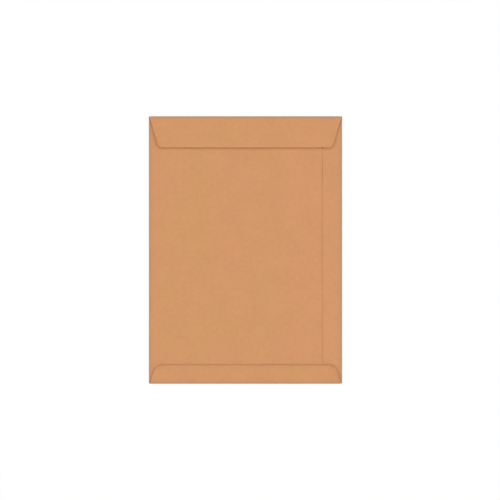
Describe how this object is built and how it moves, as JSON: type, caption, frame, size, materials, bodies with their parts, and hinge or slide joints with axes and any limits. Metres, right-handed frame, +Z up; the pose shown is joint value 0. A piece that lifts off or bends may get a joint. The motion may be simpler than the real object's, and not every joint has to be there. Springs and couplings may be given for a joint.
{
  "type": "paper envelope",
  "caption": "Closed pocket envelope of brown kraft paper, tall and flat, with a tapered flap folded over the mouth, a glued bottom flap and a side seam down its back.",
  "frame": {"origin": "middle of the front panel's underside, on the surface the envelope lies on", "axes": "+X across the width, towards the side seam; +Y along the height, towards the top fold; +Z up from the table, so the back with its flaps faces up"},
  "size_m": [0.26, 0.36, 0.0024],
  "materials": {
    "kraft_paper": "matte"
  },
  "bodies": {
    "root": {"envelope": "kraft_paper"}
  },
  "joints": []
}
